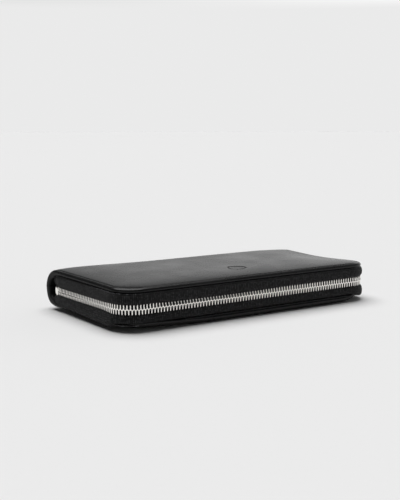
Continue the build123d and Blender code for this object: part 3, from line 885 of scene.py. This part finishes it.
def coin_pocket():
    """The zipped coin pocket, with its walls, folded side, tapes, teeth and stitching."""
    body = "coin_leaf"
    for word in ("lower", "upper"):
        panel_for(f"coin_pocket_{word}_wall", f"coin_pocket_{word}_leather", body, 2.0, 2.0)
        panel_for(f"coin_mouth_{word}_facing", f"coin_mouth_{word}_edge", body, 1.0, HINGE_CORNER)
    panel_for("coin_pocket_hinge_strip", "coin_pocket_spine_strap", body, HINGE_CORNER, 1.0)

    low, high = cad_box("coin_pocket_side_gusset")
    steps = 24
    side_y = np.linspace(low[1], high[1], steps)
    path = [(low[0] + 0.3, y, 1, 0) for y in side_y] + [(low[0] + 0.6, high[1] - 0.3, 0.7, -0.7)]
    path += [(x, high[1] - 0.3, 0, -1) for x in np.linspace(low[0] + 3, high[0] - 3, steps)]
    path += [(high[0] - 0.6, high[1] - 0.3, -0.7, -0.7)]
    path += [(high[0] - 0.3, y, -1, 0) for y in side_y[::-1]]
    fold = [(0.0, low[2]), (0.9, low[2] + 0.35), (2.4, MID), (0.9, high[2] - 0.35), (0.0, high[2])]
    bellows = swept("coin_pocket_folded_side", path, fold, inner_leather, BINDING_THICK)
    stand_for(bellows, body, "inner_leather", "coin_pocket_side_gusset")

    for word, side in (("lower", -1), ("upper", 1)):
        low, high = cad_box(f"coin_zip_{word}_tape")
        outer, inner = (low[2], high[2]) if side < 0 else (high[2], low[2])
        inset = COIN_TAPE_THICK / 2
        level = outer - side * inset
        path = [(x, low[1] + inset, 0, 1) for x in np.linspace(low[0], high[0], 90)]
        bend = [(high[1] - low[1] - inset, level), (0.9, level), (0.35, level - side * 0.1),
                (0.1, level - side * 0.35), (0.0, level - side * 0.7), (0.0, inner)]
        tape = swept(f"coin_{word}_woven_tape", path, bend, tape_cloth, COIN_TAPE_THICK)
        stand_for(tape, body, "zip_tape_fabric", f"coin_zip_{word}_tape")

    low, high = cad_box("coin_zip_lower_teeth")
    count = int(round((high[0] - low[0]) / COIN_PITCH))
    template = tooth_template(width=1.0, depth=1.9, reach=1.85, bite=0.5)
    middle = (low[1] + high[1]) / 2
    for word, flip in (("upper", False), ("lower", True)):
        low = cad_box(f"coin_zip_{word}_teeth")[0]
        places = [(low[0] + 0.4 + k * COIN_PITCH, middle, MID, 0.0, -1.0) for k in range(count + 1)]
        row = chain_row(f"coin_{word}_chain_teeth", template, places, flip)
        stand_for(row, body, "zip_metal", f"coin_zip_{word}_teeth")

    runs = []
    for word, side in (("lower", -1), ("upper", 1)):
        low, high = cad_box(f"coin_pocket_{word}_wall")
        level = low[2] if side < 0 else high[2]
        normal = (0, 0, side)
        for x in (low[0] + SEAM, high[0] - SEAM):
            runs.append(((x, low[1] + 4.0, level), (x, high[1] - SEAM, level), normal))
        back = high[1] - SEAM
        runs.append(((low[0] + SEAM, back, level), (high[0] - SEAM, back, level), normal))
        low, high = cad_box(f"coin_mouth_{word}_facing")
        level = low[2] if side < 0 else high[2]
        back = high[1] - 1.0
        runs.append(((low[0] + SEAM, back, level), (high[0] - SEAM, back, level), normal))
    stand_for(stitches("coin_pocket_stitching", runs), body, "inner_leather")


coin_pocket()


# -------------------- side gussets
gusset_low, gusset_high = cad_box("lower_gusset_left")
GUSSET_EDGE = 0.3                       # the leaf's middle is this far inside its faces
GUSSET_RISE = (gusset_high[2] - gusset_low[2]) / 2 - GUSSET_EDGE


def gusset(word, hand):
    """A leather leaf folded inward at one side of a note compartment."""
    cad_name = f"{word}_gusset_{hand}"
    low, high = cad_box(cad_name)
    out = 1 if hand == "right" else -1
    fold_x, sewn_x = (low[0], high[0]) if out > 0 else (high[0], low[0])
    depth = abs(sewn_x - fold_x)
    shares = [k / 10 for k in range(11)]
    profile = [(depth * share, low[2] + GUSSET_EDGE + GUSSET_RISE * share ** 1.3) for share in shares]
    profile += [(depth * share, high[2] - GUSSET_EDGE - GUSSET_RISE * share ** 1.3)
                for share in shares[-2::-1]]
    path = [(sewn_x, y, -out, 0) for y in np.linspace(low[1], high[1], 40)]
    leaf = swept(f"{word}_side_gusset_{hand}", path, profile, inner_leather, BINDING_THICK)
    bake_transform(leaf)
    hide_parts(cad_name)


for hand in ("left", "right"):
    gusset("lower", hand)
    gusset("upper", hand)


# -------------------- pull tab
TAB_HALF_THICK = 0.85
NECK_HALF = 1.4
TAB_SEAM = 1.1
STANDING = Matrix(((0, 0, 1), (1, 0, 0), (0, 1, 0)))    # a panel whose thickness is along the wallet's X


def pull_tab():
    """Leather tab folded over the link of the main slider's pull."""
    low, high = cad_box("zip_pull_tab")
    bar_y = cad_box("zip_pull_link")[0][1]
    middle_x = (low[0] + high[0]) / 2
    tab_top = bar_y - 1.2
    strap = panel("zip_pull_leather_tab", (low[1], low[2], middle_x - TAB_HALF_THICK),
                  (tab_top, high[2], middle_x + TAB_HALF_THICK), 2.6, 2.6, outer_leather, True, STANDING)
    neck = panel("zip_pull_tab_fold", (tab_top - 1.5, MID - NECK_HALF, low[0]),
                 (high[1], MID + NECK_HALF, high[0]), 0.7, 0.7, outer_leather, False, STANDING)
    stand_for(strap, "zip_pull", "outer_leather", "zip_pull_tab")
    stand_for(neck, "zip_pull", "outer_leather")
    runs = []
    for normal, x in ((1, middle_x + TAB_HALF_THICK), (-1, middle_x - TAB_HALF_THICK)):
        for z in (low[2] + TAB_SEAM, high[2] - TAB_SEAM):
            runs.append(((x, low[1] + 3.0, z), (x, tab_top - 2.0, z), (normal, 0, 0)))
    stand_for(stitches("zip_pull_stitching", runs), "zip_pull", "outer_leather")


pull_tab()

# -------------------- finishes of the CAD nodes that stay
FINISH = {"outer_leather": outer_leather, "inner_leather": inner_leather, "lining_fabric": lining_cloth,
          "zip_tape_fabric": tape_cloth, "zip_metal": bright_metal}
for subpart in frame["record"]["subparts"]:
    cad_piece = frame["nodes"][subpart["node"]]
    finish = FINISH.get(subpart["material_slot"])
    if finish is not None and not cad_piece.hide_render:
        cad_piece.data.materials.clear()
        cad_piece.data.materials.append(finish)


# -------------------- floor, light and camera
FLOOR_HALF = 40000.0


def floor():
    """Plain pale floor, with a speck too faint to see."""
    material, tree, shader, place = new_material("floor")
    tone = ramp(tree, noise(tree, place, cells=0.4, detail=2.0), [(0.0, 0.795), (1.0, 0.805)])
    tree.links.new(tone, shader.inputs["Base Color"])
    shader.inputs["Roughness"].default_value = 1.0
    shader.inputs["Specular IOR Level"].default_value = 0.0
    verts = [(-FLOOR_HALF, -FLOOR_HALF, 0), (FLOOR_HALF, -FLOOR_HALF, 0),
             (FLOOR_HALF, FLOOR_HALF, 0), (-FLOOR_HALF, FLOOR_HALF, 0)]
    piece = make_piece("floor", verts, [(0, 1, 2, 3)], material, flat=True)


def world(by_height, by_side, horizon, strength):
    """Plain surroundings: levels by the height of a direction times levels by its X.

    horizon gives the levels of the lowest band, by the direction's X.
    """
    scene = bpy.context.scene
    scene.world = bpy.data.worlds.new("studio")
    scene.world.use_nodes = True
    tree = scene.world.node_tree
    direction = tree.nodes.new("ShaderNodeTexCoord").outputs["Generated"]
    split = node(tree, "ShaderNodeSeparateXYZ", Vector=direction)
    height = ramp(tree, split.outputs["Z"], by_height)
    side = ramp(tree, split.outputs["X"], by_side)
    tone = tree.nodes.new("ShaderNodeVectorMath")
    tone.operation = "MULTIPLY"
    tree.links.new(height, tone.inputs[0])
    tree.links.new(side, tone.inputs[1])
    band = ramp(tree, split.outputs["Z"], [(0.13, 0.0), (0.16, 1.0)])
    behind = ramp(tree, split.outputs["X"], horizon)
    joined = tree.nodes.new("ShaderNodeMix")
    joined.data_type = "VECTOR"
    joined.factor_mode = "NON_UNIFORM"
    by_name = {socket.identifier: socket for socket in joined.inputs}
    tree.links.new(band, by_name["Factor_Vector"])
    tree.links.new(behind, by_name["A_Vector"])
    tree.links.new(tone.outputs["Vector"], by_name["B_Vector"])
    tree.links.new(joined.outputs[1], tree.nodes["Background"].inputs["Color"])
    tree.nodes["Background"].inputs["Strength"].default_value = strength


def sun(heading, height, spread, strength):
    """Soft overhead light: heading is where it comes from, in degrees from +X towards +Y."""
    data = bpy.data.lights.new("key", "SUN")
    data.energy = strength
    data.angle = math.radians(spread)
    lamp = bpy.data.objects.new("key", data)
    bpy.context.scene.collection.objects.link(lamp)
    a, e = math.radians(heading), math.radians(height)
    toward = Vector((math.cos(a) * math.cos(e), math.sin(a) * math.cos(e), math.sin(e)))
    lamp.rotation_euler = toward.to_track_quat("Z", "Y").to_euler()


def camera():
    """A camera in front of the wallet and to its left, a little above it."""
    swing, height = math.radians(35.17), math.radians(11.17)
    pitch, yaw = math.radians(90 - 7.71), math.radians(-34.5)
    distance, shift = 0.596, -0.002     # in metres
    data = bpy.data.cameras.new("camera")
    data.sensor_width = 36.0
    data.lens = 64.0
    eye = bpy.data.objects.new("camera", data)
    bpy.context.scene.collection.objects.link(eye)
    eye.location = (shift - distance * math.sin(swing) * math.cos(height),
                    -distance * math.cos(swing) * math.cos(height), distance * math.sin(height))
    eye.rotation_euler = (pitch, 0, yaw)
    bpy.context.scene.camera = eye


floor()
world(by_height=[(0.0, 0.75), (0.12, 0.75), (0.22, 0.48), (0.34, 0.13), (0.6, 0.10), (0.95, 0.20)],
      by_side=[(0.0, 0.14), (0.38, 0.41), (0.60, 0.66), (0.80, 1.1)],
      horizon=[(0.1, 0.14), (0.34, 0.412)], strength=2.0)
sun(heading=88, height=74, spread=60, strength=3.0)
camera()
bpy.context.scene.view_settings.view_transform = "Standard"
